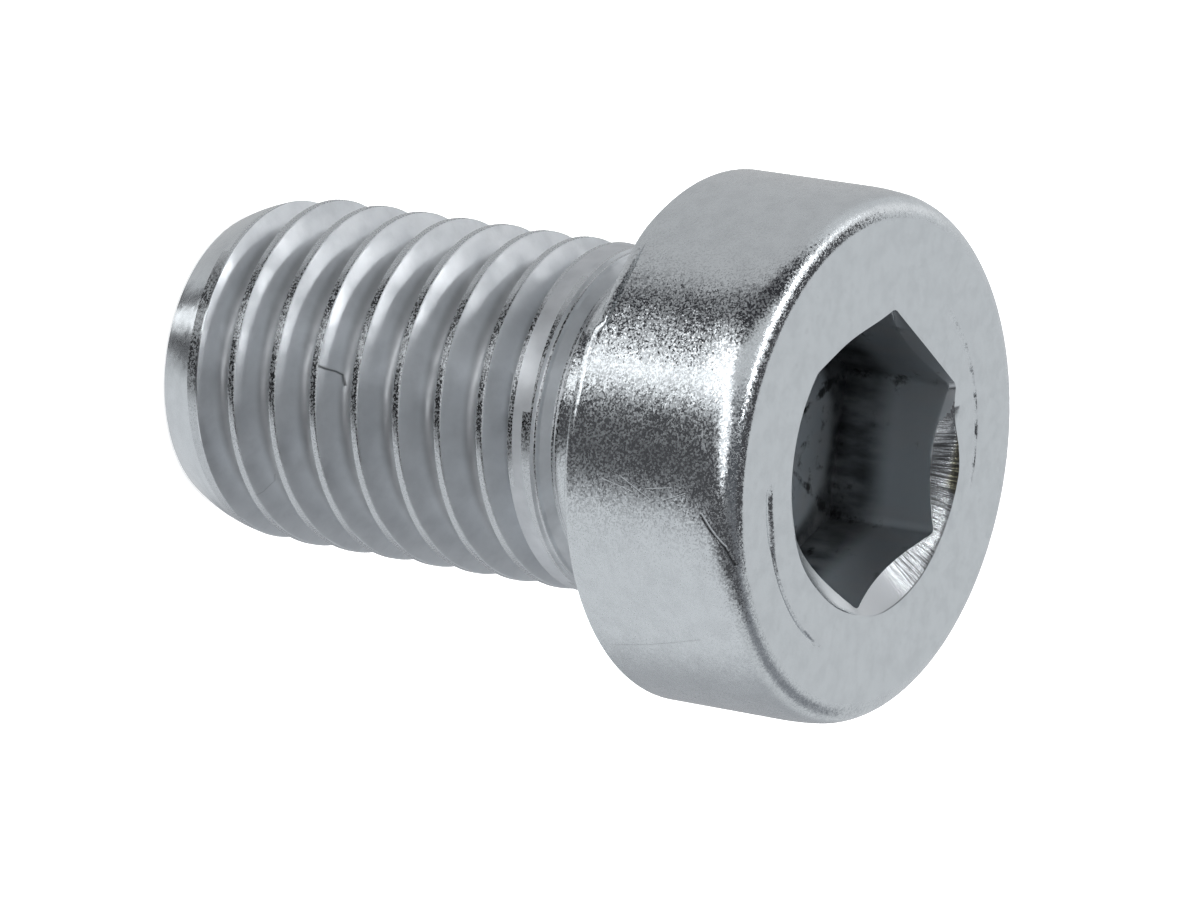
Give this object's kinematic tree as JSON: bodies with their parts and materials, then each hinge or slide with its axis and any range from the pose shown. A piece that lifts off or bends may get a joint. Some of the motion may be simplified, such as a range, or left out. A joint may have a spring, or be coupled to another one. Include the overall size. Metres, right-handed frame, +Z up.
{
  "type": "bolt",
  "caption": "Low-head hexagon socket bolt with a round head, a scalloped blind socket and a short right-hand thread that runs out to a plain neck.",
  "frame": {"origin": "centre of the flat face at the threaded end, on which the bolt stands", "axes": "+Z up the bolt's axis from the threaded end through the head to the socket; +X and +Y across the axis"},
  "size_m": [0.021, 0.021, 0.03],
  "materials": {
    "zinc_plated_steel": "bright zinc plating over forged and rolled steel, satin"
  },
  "bodies": {
    "root": {"bolt": "zinc_plated_steel"}
  },
  "joints": []
}
